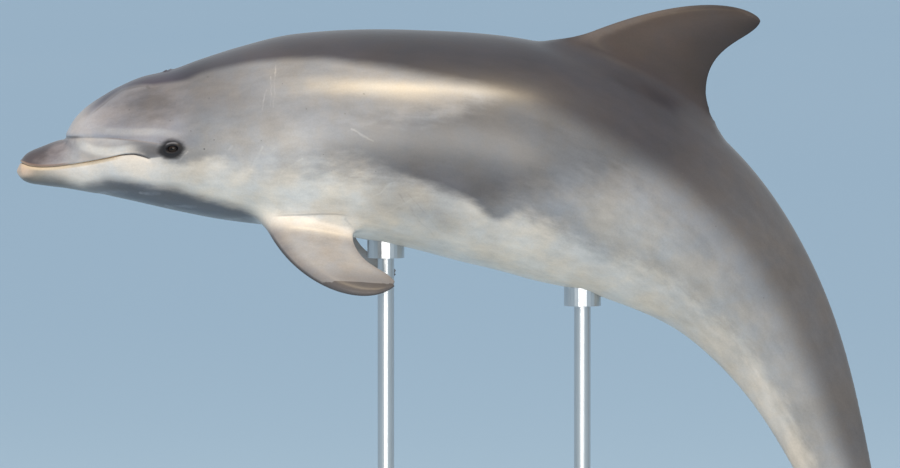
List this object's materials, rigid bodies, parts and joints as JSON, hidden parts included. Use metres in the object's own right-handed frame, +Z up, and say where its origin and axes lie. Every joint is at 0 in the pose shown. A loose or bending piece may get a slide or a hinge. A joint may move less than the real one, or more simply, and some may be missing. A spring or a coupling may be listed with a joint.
{
  "type": "leaping bottlenose dolphin model",
  "caption": "Life-size bottlenose dolphin arched in mid leap, with closed beak, curved dorsal fin, flippers and flukes, held over a flat base by upright posts.",
  "frame": {"origin": "middle of the underside of the stand's base plate, on the floor", "axes": "+X from the snout towards the tail, +Y to the animal's right side, +Z up"},
  "size_m": [1.8297, 0.552, 1.3248],
  "materials": {
    "skin_cape": "smooth wet dark brown-grey skin",
    "skin_flank": "smooth wet mid-grey skin",
    "skin_belly": "smooth wet off-white skin",
    "skin_fin": "smooth wet dark grey fin skin",
    "eye": "glossy dark brown eyeball",
    "steel": "satin steel",
    "plate": "matt grey paint"
  },
  "bodies": {
    "root": {"upper_jaw": "skin_cape", "lower_jaw": "skin_belly", "head": "skin_flank", "blowhole": "skin_fin", "neck": "skin_flank", "chest": "skin_flank", "trunk": "skin_flank", "loin": "skin_flank", "tail_stock": "skin_cape", "peduncle": "skin_cape", "dorsal_fin": "skin_fin", "flipper_left": "skin_fin", "flipper_right": "skin_fin", "fluke_left": "skin_fin", "fluke_right": "skin_fin", "eye_left": "eye", "eye_right": "eye", "stand_base": "plate", "stand_flange_front": "steel", "stand_flange_rear": "steel", "stand_post_front": "steel", "stand_post_rear": "steel", "stand_cup_front": "steel", "stand_cup_rear": "steel"}
  },
  "joints": []
}
